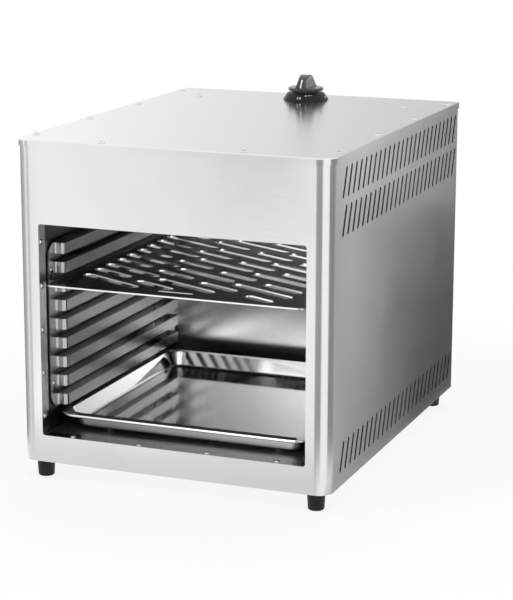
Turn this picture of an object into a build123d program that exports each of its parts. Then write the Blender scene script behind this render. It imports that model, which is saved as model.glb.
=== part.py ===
from build123d import *
import os
from math import atan2, degrees, radians, sin

os.makedirs("parts", exist_ok=True)

# Gas cheese melter, millimetres. +Z is up, the open front faces -Y and +X is its right-hand side.
# The origin is on the counter, under the middle of the casing.

# Overall size: outline of the lid, and counter to lid top
width = 358.0
depth = 462.0
height = 375.0

# Sheets and clearances
sheet = 1.2             # casing, lid, rear panel, base plate, racks
liner_sheet = 1.0       # cavity walls
rim_gap = 0.1           # between the lid's rim and the casing inside it
seat_gap = 0.2          # between pieces that are laid loosely together
fold = 14.0             # width of the casing's inward folds at top and bottom
hole_gap = 0.15         # round a screw's shank
running_gap = 0.05      # round a shaft that turns in its bore

# Lid
lid_rim = 7.5
lid_corner = 17.3
rear_corner = 3.0
lid_bend = 1.4
lid_rows = 4            # screws along each side
lid_screw_inset = 6.2
lid_row_margin = 38.7   # from the casing's front to the first row
lid_row_end = 29.7      # from the last row to the casing's rear
lid_front_inset = 98.5  # the two screws behind the front edge
lid_front_margin = 8.7
lid_bar_inset = 48.0    # the two screws in the crossbar

# Casing
foot_height = 21.0
side_x = width / 2 - sheet - rim_gap
front_y = -(depth / 2 - sheet - rim_gap)
rear_y = -front_y
casing_corner = lid_corner - sheet - rim_gap
lid_under = height - sheet
base_top = foot_height + sheet
lap = 7.5               # strip of each side that belongs to the rear panel
lap_y = rear_y - lap
tail_x = side_x - sheet - rim_gap
tail_y = rear_y - sheet - seat_gap
rear_fold = 12.0

# Front opening
open_width = 304.0
open_height = 234.0
open_corner = 3.0
open_lift = 30.0        # above the bottom of the casing
open_fold = 15.0
open_screw_inset = 6.5  # behind the casing's front
open_side_pitch = 48.3
open_flat_pitch = 79.0
open_low = foot_height + open_lift
open_high = open_low + open_height
open_mid = (open_low + open_high) / 2

# Slanted vent slots in the sides
vent_count = 26
vent_width = 4.8
vent_rise = 32.0
vent_lean = 12.0
vent_front_margin = 36.7
vent_rear_margin = 12.0
vent_top_margin = 12.8
vent_row_gap = 8.3
vent_low_margin = 15.7

# Vent slots in the rear panel and the base plate
plain_vent_width = 5.0
plain_vent_length = 40.0
plain_vent_pitch = 16.0
rear_vent_margin = 30.0
rear_vent_upper_count = 12
rear_vent_lower_count = 17
base_vent_rows = 4
base_vent_columns = 13
base_vent_row_pitch = 60.0

# Screws in the base plate and the rear panel
base_screw_inset = 8.0
base_screw_margin = 90.0  # from the corners to the nearest screws
rear_screw_inset = 6.0
rear_screw_margin = 30.0  # from the top and the bottom to the nearest screws

# Cavity
cavity_back = 130.0     # front face of the cavity's rear wall
liner_x = open_width / 2 + sheet
liner_front = front_y + sheet + seat_gap
floor_top = open_low - sheet
ceiling = open_high + sheet
runner_x = 100.0
runner_width = 8.0
runner_inset = 35.0     # from the tray's front and rear to the runners' ends
runner_rise = 3.2
liner_slot_width = 5.0
liner_slot_pitch = 25.6
liner_slot_height = 62.0
liner_slot_count = 3
liner_slot_rear = 9.0   # from the last slot's middle to the rear wall

# Racks
rack_standoff = 1.2
rack_front_margin = 19.7
rack_rear_margin = 3.0
rack_corner = 18.0
rack_edge = 2.0         # sheet above the top rail and below the bottom one
rail_count = 9
rail_pitch = 21.15
rail_height = 11.75
rail_reach = 12.0
rail_bend = 4.2
rail_foot_bend = 2.6    # where its ends leave the sheet
rail_inset = 15.0       # from the rack's front and rear edges to the rails' ends
rail_lift = 26.5        # from the opening's lower edge to the lowest rail's underside
rack_slot_width = 3.6
rack_slot_length = 15.0
rack_boss_radius = 5.5
rack_screw_rails = (1, 7)  # rails that the screws stand in front of
rack_screw_lift = 4.7
rack_tab_length = 15.0
rack_tab_reach = 4.5

# Grate
grate_rail = 6          # rail that it lies on, counted from the bottom with 0
grate_width = 297.0
grate_thick = 1.6
grate_corner = 8.0
grate_front_margin = 4.7
grate_rear_margin = 7.0
grate_slot = 12.0
grate_short = 59.5
grate_long = 91.0
grate_turn = 26.3
grate_row_pitch = 56.5
grate_rows = 6
grate_edge = 8.0        # plate left in front of the slots and behind them
# two sets of slots: how many side by side, the first one's middle, and the step to the next one
short_columns = 4
short_first = (-105.5, 25.7)
short_step = (67.0, 16.9)
long_columns = 3
long_first = (-91.5, 45.9)
long_step = (85.5, 6.5)
corner_slot = 42.0      # single slot near the front right corner
corner_slot_at = (89.0, 23.4)
edge_slot = (40.0, 4.0)  # narrow slot along the front edge
edge_slot_at = (-3.5, 19.5)

# Drip tray
tray_width = 299.0
tray_depth = 303.0
tray_sheet = 1.0
tray_front_margin = 22.5
tray_height = 17.6      # underside to rim
tray_corner = 24.0
tray_wall_corner = 22.0
tray_floor_corner = 15.0
tray_flat = 7.0         # flat part of the rim
tray_slope = 7.0        # how far each wall leans in
tray_bend = 5.0
tray_bead = 1.8         # radius of the rolled edge

# Feet
foot_side_inset = 19.7
foot_end_inset = 18.7
foot_top_radius = 10.0
foot_low_radius = 8.75
foot_round = 2.0
stud_radius = 2.5
stud_depth = 12.0       # in the rubber
nut_height = 4.0
nut_radius = 4.6        # across the corners
stud_end = 1.0          # of the stud, above its nut

# Screws: head radius, head height, shank radius, shank length
lid_head = (4.0, 1.6, 1.7, 5.0)
small_head = (3.2, 1.8, 1.5, 5.0)
plate_head = (3.4, 1.6, 1.6, 5.0)
panel_head = (3.4, 1.2, 1.6, 5.0)

# Knob and bezel
knob_x = 0.0
knob_y = 181.5
bezel_low_radius = 27.2
bezel_top_radius = 22.4
bezel_height = 8.2
bezel_floor = 1.6
bezel_recess = 15.0
bezel_foot = (0.3, 1.2)  # chamfer round its lower edge
bezel_spigot = 4.0      # below the lid's top
spindle_gap = 2.0       # round the spindle in the bezel's bore
lid_bore = 12.0
knob_travel = 2.5
knob_gap = 2.9          # between the bezel and the knob's disc
knob_radius = 21.3
knob_disc = 4.0
knob_round = 1.6
knob_hub_radius = 13.0
knob_hub_drop = 5.0     # below the disc
grip_thick = 14.4       # at its foot
grip_waist = 10.6       # between its scooped sides
grip_scoop = 18.0       # radius of the scoops
grip_scoop_rise = 8.88   # from the disc to the middle of the scoops
grip_length = 38.0
grip_rise = 14.8        # above the disc
grip_round = 0.8
pointer_width = 1.6
pointer_depth = 0.4
pointer_from = 14.0     # degrees up the grip's rounded end
pointer_to = 48.0
spindle_seat = 8.0      # how far the spindle reaches into the knob, from the disc's underside
spindle_flat = 3.0      # from the spindle's axis to its flat

# Gas valve
spindle_radius = 4.0
valve_side = 28.0
valve_low = 272.0
valve_block = 58.0      # height of the square block
valve_shoulder = 16.0
valve_shoulder_radius = 12.0
valve_round = 3.0
cap_thick = 4.0         # hexagon under the block
cap_reach = 3.0         # that the hexagon's corners stand out past the plug
neck_radius = 9.0
neck_length = 12.0
neck_nut_height = 5.0
neck_nut_radius = 13.5
bracket_sheet = 1.5
bracket_width = 44.0
bracket_margin = 6.0    # of its plate, behind the valve's shoulder
plug_radius = 8.0
plug_length = 19.6
plug_lift = 8.0         # from the block's underside to the plug
plug_slot = 3.4
plug_slot_depth = 9.0
tang_thick = 3.0
tang_width = 7.0
port_lift = 14.0        # from the block's underside to the ports' axis
port_radius = 2.5
boss_radius = 8.0
boss_length = 8.0
spring_wire = 0.5
spring_radius = 6.0
spring_turns = 5
spring_bore = 7.2
spring_length = 15.0
spring_margin = 2.0     # from the spring to the neck's end
collar_thick = 1.8
collar_gap = 0.3        # round the collar in the neck
shoulder_radius = 6.4
gland_thick = 3.0

# Infrared burner
plaque_x = 126.0
plaque_y = 90.0
plaque_thick = 12.0
plaque_gap = 1.0
plaque_columns = 2
plaque_rows = 3
burner_y = -45.0
burner_height = 52.0
burner_lip = 5.0
burner_flange = 9.0
gasket_thick = 1.0
clamp_bar = 6.0
clamp_thick = 1.6
guard_pitch = 20.0
guard_bar = 3.0
guard_columns = 12
guard_rows = 13
venturi_x = -70.0
venturi_lift = 32.0     # from the guard plate to the venturi's axis
venturi_radius = 14.0
venturi_wall = 1.2
venturi_end = 0.0       # its open end inside the burner box
bell_radius = 19.0
bell_length = 20.0
bell_y = 185.0
jet_gap = 5.0           # from the bell's mouth to the jet
jet_length = 14.0
jet_radius = 5.0
holder_width = 18.0
holder_depth = 16.0
holder_height = 20.0
holder_socket = 6.0     # depth of the pipe in the holder
holder_round = 2.0
jet_hexagon = 8.4       # length of the jet's six-sided part
jet_nose_radius = 3.5
jet_taper = 15.0

# Pipes and leads
pipe_radius = 4.0
pipe_wall = 1.0
pipe_bend = 10.0
nut_length = 9.0
pipe_nut_radius = 9.0
inlet_x = 60.0
inlet_radius = 13.0
inlet_bore = 9.3
inlet_thread = 16.0
inlet_length = 24.7
inlet_plate_side = 46.0
inlet_plate_thick = 2.0
lead_radius = 1.2
lead_hole = 3.2
lead_bend = 4.0
lead_spread = 9.0       # thermocouple and electrode lie this far either side of the middle
lead_tail = 8.0         # of the electrode, behind the partition
lead_height = 296.0
lead_drop_y = 112.0
probe_y = 88.0
probe_length = 12.0
probe_radius = 1.6
piezo_size = 16.0
piezo_x = 32.0
piezo_round = 1.5

# Partition and crossbar
partition_gap = 1.2     # behind the cavity's rear wall
crossbar_y = 158.5
crossbar_width = 17.0
crossbar_drop = 12.0
support_y = 110.0
support_x = 120.0
support_width = 30.0
support_foot = 16.0

up = (0, 0, 1)
down = (0, 0, -1)
rear = (0, 1, 0)


def block(x, y, z, mode=Mode.ADD):
    """A box between the two ends given along each axis."""
    with Locations(((x[0] + x[1]) / 2, (y[0] + y[1]) / 2, (z[0] + z[1]) / 2)):
        Box(abs(x[1] - x[0]), abs(y[1] - y[0]), abs(z[1] - z[0]), mode=mode)


def drill(points, way, radius, length=6.0):
    """Round holes centred on the points, running along way."""
    with Locations(*[Plane(origin=point, z_dir=way) for point in points]):
        Cylinder(radius, length, mode=Mode.SUBTRACT)


def wrap_outline(inset, back):
    """The casing seen from above, moved in by inset: round front corners, square at the back."""
    x = side_x - inset
    front = front_y + inset
    corner = max(casing_corner - inset, 1.0)
    with BuildSketch() as outline:
        with BuildLine():
            FilletPolyline((x, back), (x, front), (-x, front), (-x, back), radius=corner)
            Line((-x, back), (x, back))
        make_face()
    return outline.sketch


def lid_outline(inset):
    """The lid seen from above, moved in by inset."""
    with BuildSketch() as outline:
        Rectangle(width - 2 * inset, depth - 2 * inset)
        fillet(outline.vertices().group_by(Axis.Y)[0], radius=lid_corner - inset)
        fillet(outline.vertices().group_by(Axis.Y)[-1], radius=rear_corner - inset)
    return outline.sketch


def rear_outline(inset):
    """The rear panel seen from above, moved in by inset at the back and sides."""
    x = side_x - inset
    front = lap_y + seat_gap
    with BuildSketch() as outline:
        with BuildLine():
            FilletPolyline((-x, front), (-x, rear_y - inset), (x, rear_y - inset), (x, front),
                           radius=rear_corner - rim_gap - inset)
            Line((x, front), (-x, front))
        make_face()
    return outline.sketch


def screw(head_radius, head_height, shank_radius, shank_length):
    """A screw with a low domed head and a cross recess, its seat at the origin and its head up."""
    rim = 0.35 * head_height
    crown = (0.6 * head_radius, rim + 0.8 * (head_height - rim))
    bar = 0.28 * head_radius
    with BuildPart() as one:
        with BuildSketch(Plane.XZ):
            with BuildLine():
                Polyline((0, head_height), (0, -shank_length), (shank_radius, -shank_length),
                         (shank_radius, 0), (head_radius, 0), (head_radius, rim))
                ThreePointArc((head_radius, rim), crown, (0, head_height))
            make_face()
        revolve(axis=Axis.Z)
        with Locations((0, 0, head_height)):
            Box(head_radius, bar, head_height, mode=Mode.SUBTRACT)
            Box(bar, head_radius, head_height, mode=Mode.SUBTRACT)
    return one.part


def fasteners(one, seats):
    """Copies of one screw, each on its seat: a point, and the way that its head faces."""
    with BuildPart() as group:
        for point, way in seats:
            with Locations(Plane(origin=point, z_dir=way)):
                add(one)
    return group.part


def hole_radius(head):
    """Clearance hole for a screw's shank."""
    return head[2] + hole_gap


def tube(points, radius, bore, bend):
    """A bent pipe of round section along the points, solid where bore is 0."""
    with BuildPart() as pipe:
        with BuildLine() as path:
            if len(points) > 2:
                FilletPolyline(*points, radius=bend)
            else:
                Line(*points)
        start = Plane(origin=path.line @ 0, z_dir=path.line % 0)
        with BuildSketch(start):
            Circle(radius)
            if bore > 0:
                Circle(bore, mode=Mode.SUBTRACT)
        sweep()
    return pipe.part


# ---- Seats of the screws, shared with the holes under them
lid_screw_x = side_x - lid_screw_inset
lid_row_first = front_y + lid_row_margin
lid_row_pitch = (rear_y - lid_row_end - lid_row_first) / (lid_rows - 1)
lid_side_points = [(side * lid_screw_x, lid_row_first + row * lid_row_pitch, height)
                   for side in (-1, 1) for row in range(lid_rows)]
lid_front_points = [(side * (width / 2 - lid_front_inset), front_y + lid_front_margin, height)
                    for side in (-1, 1)]
lid_bar_points = [(side * (width / 2 - lid_bar_inset), crossbar_y, height) for side in (-1, 1)]
lid_points = lid_side_points + lid_front_points + lid_bar_points

open_screw_y = front_y + open_screw_inset
open_side_points = [(side * open_width / 2, open_screw_y, open_mid + step * open_side_pitch)
                    for side in (-1, 1) for step in (-2, -1, 0, 1, 2)]
open_flat_x = [step * open_flat_pitch for step in (-1.5, -0.5, 0.5, 1.5)]
open_low_points = [(x, open_screw_y, open_low) for x in open_flat_x]
open_high_points = [(x, open_screw_y, open_high) for x in open_flat_x]

base_row_y = rear_y - base_screw_margin
base_screw_x = side_x - base_screw_margin
base_side_points = [(side * (side_x - base_screw_inset), y, foot_height)
                    for side in (-1, 1) for y in (-base_row_y, 0, base_row_y)]
base_front_points = [(side * base_screw_x, front_y + base_screw_inset, foot_height) for side in (-1, 1)]
base_rear_points = [(side * base_screw_x, rear_y - base_screw_inset, foot_height) for side in (-1, 1)]
base_points = base_side_points + base_front_points + base_rear_points

rear_screw_z = (foot_height + rear_screw_margin, (foot_height + height) / 2, height - rear_screw_margin)
rear_screw_x = tail_x - sheet - rear_screw_inset
rear_points = [(side * rear_screw_x, rear_y, z) for side in (-1, 1) for z in rear_screw_z]

# ---- Casing: front and both sides in one folded sheet
vent_first = front_y + vent_front_margin + vent_lean / 2
vent_last = rear_y - vent_rear_margin - vent_lean / 2
vent_pitch = (vent_last - vent_first) / (vent_count - 1)
vent_upper = lid_under - vent_top_margin - vent_rise / 2
vent_heights = (vent_upper, vent_upper - vent_rise - vent_row_gap,
                foot_height + vent_low_margin + vent_rise / 2)
vent_points = [(vent_first + step * vent_pitch, middle)
               for middle in vent_heights for step in range(vent_count)]
vent_length = (vent_rise ** 2 + vent_lean ** 2) ** 0.5
vent_turn = degrees(atan2(vent_rise, vent_lean))

with BuildPart() as body_shell:
    with BuildSketch(Plane.XY.offset(foot_height)):
        add(wrap_outline(0, lap_y))
        add(wrap_outline(sheet, lap_y), mode=Mode.SUBTRACT)
    extrude(amount=lid_under - foot_height)
    # folds that the base plate and the lid are screwed to
    for low in (base_top + seat_gap, lid_under - sheet):
        with BuildSketch(Plane.XY.offset(low)):
            add(wrap_outline(sheet / 2, lap_y))
            add(wrap_outline(fold, lap_y), mode=Mode.SUBTRACT)
        extrude(amount=sheet)
    # rear edges step in behind the rear panel, then turn inwards for its screws
    for side in (-1, 1):
        tail_z = (base_top + seat_gap, lid_under)
        block((side * (tail_x - sheet), side * side_x), (lap_y - sheet, lap_y), tail_z)
        block((side * (tail_x - sheet), side * tail_x), (lap_y - sheet, tail_y), tail_z)
        block((side * (tail_x - rear_fold), side * tail_x), (tail_y - sheet, tail_y), tail_z)
    tail_edges = body_shell.edges().filter_by(Axis.Z).group_by(Axis.Y)[-1]
    outer_edges = tail_edges.filter_by(lambda edge: abs(edge.center().X) > tail_x - sheet)
    fillet(outer_edges, radius=rear_corner - rim_gap)
    # front opening with its edges folded inwards all round
    with BuildSketch(Plane.XZ.offset(-front_y)):
        with Locations((0, open_mid)):
            RectangleRounded(open_width + 2 * sheet, open_height + 2 * sheet, open_corner + sheet)
    extrude(amount=-open_fold)
    with BuildSketch(Plane.XZ.offset(-front_y + sheet)):
        with Locations((0, open_mid)):
            RectangleRounded(open_width, open_height, open_corner)
    extrude(amount=-(open_fold + 2 * sheet), mode=Mode.SUBTRACT)
    # slanted vent slots, through both sides at once
    with BuildSketch(Plane.YZ):
        with Locations(*vent_points):
            SlotOverall(vent_length, vent_width, rotation=vent_turn)
    extrude(amount=width, both=True, mode=Mode.SUBTRACT)
    drill(lid_side_points + lid_front_points, up, hole_radius(lid_head))
    drill(base_side_points + base_front_points, up, hole_radius(plate_head))
    drill(rear_points, rear, hole_radius(plate_head))
    drill(open_side_points, (1, 0, 0), hole_radius(small_head))
    drill(open_low_points + open_high_points, up, hole_radius(small_head))
body_shell.part.label = "body_shell"
export_step(body_shell.part, "parts/body_shell.step")

# ---- Lid: a folded cap over the casing
with BuildPart() as lid:
    with BuildSketch(Plane.XY.offset(height - lid_rim)):
        add(lid_outline(0))
    extrude(amount=lid_rim)
    fillet(lid.edges().group_by(Axis.Z)[-1], radius=lid_bend)
    with BuildSketch(Plane.XY.offset(height - lid_rim)):
        add(lid_outline(sheet))
    extrude(amount=lid_rim - sheet, mode=Mode.SUBTRACT)
    drill(lid_points, up, hole_radius(lid_head))
    drill([(knob_x, knob_y, height)], up, lid_bore)
lid.part.label = "lid"
export_step(lid.part, "parts/lid.step")

# ---- Rear panel: laps a little way round both sides
inlet_z = valve_low + port_lift
rear_vent_upper = [(-(side_x - rear_vent_margin) + step * plain_vent_pitch, vent_upper)
                   for step in range(rear_vent_upper_count)]
rear_vent_lower = [((step - (rear_vent_lower_count - 1) / 2) * plain_vent_pitch, vent_heights[2])
                   for step in range(rear_vent_lower_count)]

with BuildPart() as rear_panel:
    with BuildSketch(Plane.XY.offset(foot_height)):
        add(rear_outline(0))
        add(rear_outline(sheet), mode=Mode.SUBTRACT)
    extrude(amount=lid_under - foot_height)
    rear_fold_x = side_x - fold - seat_gap
    for low in (base_top + seat_gap, lid_under - sheet):
        block((-rear_fold_x, rear_fold_x), (rear_y - fold, rear_y - sheet / 2), (low, low + sheet))
    with BuildSketch(Plane.XZ.offset(-rear_y)):
        with Locations(*rear_vent_upper, *rear_vent_lower):
            SlotOverall(plain_vent_length, plain_vent_width, rotation=90)
    extrude(amount=sheet, both=True, mode=Mode.SUBTRACT)
    drill(rear_points, rear, hole_radius(plate_head))
    drill(base_rear_points, up, hole_radius(plate_head))
    drill([(inlet_x, rear_y, inlet_z)], rear, inlet_radius + hole_gap)
rear_panel.part.label = "rear_panel"
export_step(rear_panel.part, "parts/rear_panel.step")

# ---- Base plate, lying inside the casing's lower edge
foot_x = side_x - foot_side_inset
foot_y = rear_y - foot_end_inset
foot_points = [(side * foot_x, end * foot_y) for side in (-1, 1) for end in (-1, 1)]
with BuildPart() as base_plate:
    with BuildSketch(Plane.XY.offset(foot_height)) as plate_sketch:
        add(wrap_outline(sheet + seat_gap, tail_y))
        fillet(plate_sketch.vertices().group_by(Axis.Y)[-1], radius=rear_corner)
        with Locations(*foot_points):
            Circle(stud_radius + hole_gap, mode=Mode.SUBTRACT)
        with GridLocations(plain_vent_pitch, base_vent_row_pitch, base_vent_columns, base_vent_rows):
            SlotOverall(plain_vent_length, plain_vent_width, rotation=90, mode=Mode.SUBTRACT)
    extrude(amount=sheet)
    drill(base_points, up, hole_radius(plate_head))
base_plate.part.label = "base_plate"
export_step(base_plate.part, "parts/base_plate.step")

# ---- Racks: a sheet with nine rails lanced and pressed out of it, on each side of the cavity
rack_back = liner_x - rack_standoff
rack_face = rack_back - sheet
rail_face = rack_face - rail_reach
rack_front = front_y + rack_front_margin
rack_back_edge = cavity_back - rack_rear_margin
rack_y = (rack_front + rack_back_edge) / 2
rail_length = rack_back_edge - rack_front - 2 * rail_inset
rail_lows = [open_low + rail_lift + rail * rail_pitch for rail in range(rail_count)]
rack_low = rail_lows[0] - rack_edge
rack_high = rail_lows[-1] + rail_height + rack_edge
rack_screw_y = rack_front + rail_inset / 2
rack_screw_z = [rail_lows[rail] + rack_screw_lift for rail in rack_screw_rails]
rack_rear_y = rack_back_edge - rail_inset / 2


def rail_outline(inset):
    """A rail seen from above: a flat-topped bridge out of the rack's sheet, moved in by inset."""
    x = rail_face + inset
    start = rack_front + rail_inset + inset
    end = rack_back_edge - rail_inset - inset
    with BuildSketch() as outline:
        with BuildLine():
            FilletPolyline((rack_back, start), (x, start), (x, end), (rack_back, end),
                           radius=rail_bend - inset)
            Line((rack_back, end), (rack_back, start))
        make_face()
    return outline.sketch


with BuildPart() as rack_right:
    with BuildSketch(Plane.YZ.offset(rack_face)):
        with Locations((rack_y, (rack_low + rack_high) / 2)):
            RectangleRounded(rack_back_edge - rack_front, rack_high - rack_low, rack_corner)
        with Locations(*[(rack_y, low + rail_height / 2) for low in rail_lows]):
            Rectangle(rail_length - 2 * sheet, rail_height, mode=Mode.SUBTRACT)
    extrude(amount=sheet)
    for low in rail_lows:
        with BuildSketch(Plane.XY.offset(low)):
            add(rail_outline(0))
            add(rail_outline(sheet), mode=Mode.SUBTRACT)
        extrude(amount=rail_height)
    rail_ends = (rack_front + rail_inset, rack_back_edge - rail_inset)
    rail_feet = rack_right.edges().filter_by(Axis.Z).filter_by(
        lambda edge: abs(edge.center().X - rack_face) < rim_gap
        and min(abs(edge.center().Y - end) for end in rail_ends) < rim_gap)
    fillet(rail_feet, radius=rail_foot_bend)
    # bosses that hold it off the cavity's wall, and tabs that hook into the rear wall
    with BuildSketch(Plane.YZ.offset(rack_back)):
        with Locations(*[(y, z) for y in (rack_screw_y, rack_rear_y) for z in rack_screw_z]):
            Circle(rack_boss_radius)
    extrude(amount=rack_standoff)
    for z in rack_screw_z:
        block((rack_face, rack_back), (rack_back_edge - sheet, rack_back_edge + rack_tab_reach),
              (z - rack_tab_length / 2, z + rack_tab_length / 2))
    # long screw slots at the front edge
    with BuildSketch(Plane.YZ.offset(rack_face)):
        with Locations(*[(rack_screw_y, z - (rack_slot_length - rack_slot_width) / 2) for z in rack_screw_z]):
            SlotOverall(rack_slot_length, rack_slot_width, rotation=90)
    extrude(amount=rack_back - rack_face + rack_standoff, mode=Mode.SUBTRACT)
rack_right.part.label = "rack_right"
export_step(rack_right.part, "parts/rack_right.step")

with BuildPart() as rack_left:
    add(rack_right.part)
    mirror(about=Plane.YZ, mode=Mode.REPLACE)
rack_left.part.label = "rack_left"
export_step(rack_left.part, "parts/rack_left.step")

# ---- Cavity walls, behind the folds of the front opening
liner_low = floor_top - liner_sheet
liner_slot_y = [cavity_back - liner_slot_rear - step * liner_slot_pitch for step in range(liner_slot_count)]
liner_slot_z = (rail_lows[2] + rail_height / 2, rail_lows[6] + rail_height / 2)
rack_points = [(liner_x, rack_screw_y, z) for z in rack_screw_z]

with BuildPart() as liner_right:
    block((liner_x, liner_x + liner_sheet), (liner_front, cavity_back), (liner_low, ceiling))
    with BuildSketch(Plane.YZ.offset(liner_x - liner_sheet)):
        with Locations(*[(y, z) for y in liner_slot_y for z in liner_slot_z]):
            SlotOverall(liner_slot_height, liner_slot_width, rotation=90)
    extrude(amount=3 * liner_sheet, mode=Mode.SUBTRACT)
    drill(open_side_points, (1, 0, 0), hole_radius(small_head), length=4 * sheet + 2 * liner_sheet)
    drill(rack_points, (1, 0, 0), hole_radius(small_head))
liner_right.part.label = "liner_right"
export_step(liner_right.part, "parts/liner_right.step")

with BuildPart() as liner_left:
    add(liner_right.part)
    mirror(about=Plane.YZ, mode=Mode.REPLACE)
liner_left.part.label = "liner_left"
export_step(liner_left.part, "parts/liner_left.step")

with BuildPart() as liner_back:
    liner_outer = liner_x + liner_sheet
    block((-liner_outer, liner_outer), (cavity_back, cavity_back + liner_sheet), (liner_low, ceiling))
    for side in (-1, 1):
        for z in rack_screw_z:
            tab = rack_tab_length / 2 + seat_gap
            block((side * (rack_face - seat_gap), side * (rack_back + seat_gap)),
                  (cavity_back - liner_sheet, cavity_back + 2 * liner_sheet), (z - tab, z + tab),
                  mode=Mode.SUBTRACT)
liner_back.part.label = "liner_back"
export_step(liner_back.part, "parts/liner_back.step")

tray_low = floor_top + runner_rise + seat_gap
tray_y = front_y + tray_front_margin + tray_depth / 2
with BuildPart() as liner_floor:
    block((-liner_x, liner_x), (liner_front, cavity_back), (liner_low, floor_top))
    with BuildSketch(Plane.XY.offset(floor_top)):
        with Locations((-runner_x, tray_y), (runner_x, tray_y)):
            SlotOverall(tray_depth - 2 * runner_inset, runner_width, rotation=90)
    extrude(amount=runner_rise)
    fillet(liner_floor.edges().group_by(Axis.Z)[-1], radius=runner_rise / 2)
    drill(open_low_points, up, hole_radius(small_head))
liner_floor.part.label = "liner_floor"
export_step(liner_floor.part, "parts/liner_floor.step")

with BuildPart() as liner_supports:
    for side in (-1, 1):
        x = (side * (support_x - support_width / 2), side * (support_x + support_width / 2))
        block(x, (support_y, support_y + sheet), (base_top, liner_low))
        block(x, (support_y, support_y + support_foot), (base_top, base_top + sheet))
        block(x, (support_y, support_y + support_foot), (liner_low - sheet, liner_low))
liner_supports.part.label = "liner_supports"
export_step(liner_supports.part, "parts/liner_supports.step")

# ---- Guard plate: the cavity's ceiling, pierced under the burner
guard_top = ceiling + liner_sheet
guard_hole = guard_pitch - guard_bar
lead_points = [(side * lead_spread, lead_drop_y) for side in (-1, 1)]

with BuildPart() as burner_guard:
    liner_outer = liner_x + liner_sheet
    with BuildSketch(Plane.XY.offset(ceiling)):
        with Locations((0, (liner_front + cavity_back + liner_sheet) / 2)):
            Rectangle(2 * liner_outer, cavity_back + liner_sheet - liner_front)
        with Locations((0, burner_y)):
            with GridLocations(guard_pitch, guard_pitch, guard_columns, guard_rows):
                Rectangle(guard_hole, guard_hole, mode=Mode.SUBTRACT)
        with Locations(*lead_points):
            Circle(lead_hole, mode=Mode.SUBTRACT)
    extrude(amount=liner_sheet)
    drill(open_high_points, up, hole_radius(small_head))
burner_guard.part.label = "burner_guard"
export_step(burner_guard.part, "parts/burner_guard.step")

# ---- Infrared burner: ceramic plaques in the open underside of a sheet box
plaques_x = plaque_columns * plaque_x + (plaque_columns + 1) * plaque_gap
plaques_y = plaque_rows * plaque_y + (plaque_rows + 1) * plaque_gap
box_x = plaques_x / 2 + sheet
box_front = burner_y - plaques_y / 2 - sheet
box_rear = burner_y + plaques_y / 2 + sheet
lip_top = guard_top + sheet
plaque_low = lip_top + gasket_thick
venturi_z = guard_top + venturi_lift

with BuildPart() as burner_box:
    block((-box_x, box_x), (box_front, box_rear), (guard_top, guard_top + burner_height))
    block((-box_x - burner_flange, box_x + burner_flange), (box_front, box_rear), (guard_top, lip_top))
    block((-box_x + sheet, box_x - sheet), (box_front + sheet, box_rear - sheet),
          (lip_top, guard_top + burner_height - sheet), mode=Mode.SUBTRACT)
    block((-box_x + sheet + burner_lip, box_x - sheet - burner_lip),
          (box_front + sheet + burner_lip, box_rear - sheet - burner_lip), (ceiling, lip_top + sheet),
          mode=Mode.SUBTRACT)
    drill([(venturi_x, box_rear, venturi_z)], rear, venturi_radius + running_gap)
burner_box.part.label = "burner_box"
export_step(burner_box.part, "parts/burner_box.step")

with BuildPart() as plaque_gasket:
    with BuildSketch(Plane.XY.offset(lip_top)):
        with Locations((0, burner_y)):
            Rectangle(plaques_x - 2 * seat_gap, plaques_y - 2 * seat_gap)
            Rectangle(plaques_x - 2 * burner_lip, plaques_y - 2 * burner_lip, mode=Mode.SUBTRACT)
    extrude(amount=gasket_thick)
plaque_gasket.part.label = "plaque_gasket"
export_step(plaque_gasket.part, "parts/plaque_gasket.step")

with BuildPart() as burner_plaques:
    with Locations((0, burner_y, plaque_low + plaque_thick / 2)):
        with GridLocations(plaque_x + plaque_gap, plaque_y + plaque_gap, plaque_columns, plaque_rows):
            Box(plaque_x, plaque_y, plaque_thick)
burner_plaques.part.label = "burner_plaques"
export_step(burner_plaques.part, "parts/burner_plaques.step")

with BuildPart() as plaque_clamp:
    clamp_low = plaque_low + plaque_thick
    inner_x = plaques_x / 2 - seat_gap
    with BuildSketch(Plane.XY.offset(clamp_low)):
        with Locations((0, burner_y)):
            Rectangle(2 * inner_x, plaques_y - 2 * seat_gap)
            with GridLocations(plaque_x + plaque_gap, plaque_y + plaque_gap, plaque_columns, plaque_rows):
                Rectangle(plaque_x - 2 * clamp_bar, plaque_y - 2 * clamp_bar, mode=Mode.SUBTRACT)
    extrude(amount=clamp_thick)
plaque_clamp.part.label = "plaque_clamp"
export_step(plaque_clamp.part, "parts/plaque_clamp.step")

with BuildPart() as venturi_tube:
    bore = venturi_radius - venturi_wall
    mouth = bell_radius - venturi_wall
    with BuildSketch(Plane(origin=(venturi_x, 0, venturi_z), x_dir=(1, 0, 0), z_dir=(0, 0, 1))):
        with BuildLine():
            Polyline((bore, bell_y - bell_length), (bore, venturi_end), (venturi_radius, venturi_end),
                     (venturi_radius, bell_y - bell_length))
            Line((venturi_radius, bell_y - bell_length), (bell_radius, bell_y))
            Line((bell_radius, bell_y), (mouth, bell_y))
            Line((mouth, bell_y), (bore, bell_y - bell_length))
        make_face()
    revolve(axis=Axis((venturi_x, 0, venturi_z), (0, 1, 0)))
venturi_tube.part.label = "venturi_tube"
export_step(venturi_tube.part, "parts/venturi_tube.step")

# ---- Partition between the cavity and the controls, and the crossbar under the lid
partition_y = cavity_back + liner_sheet + partition_gap
partition_x = side_x - fold - 2 * seat_gap

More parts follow.
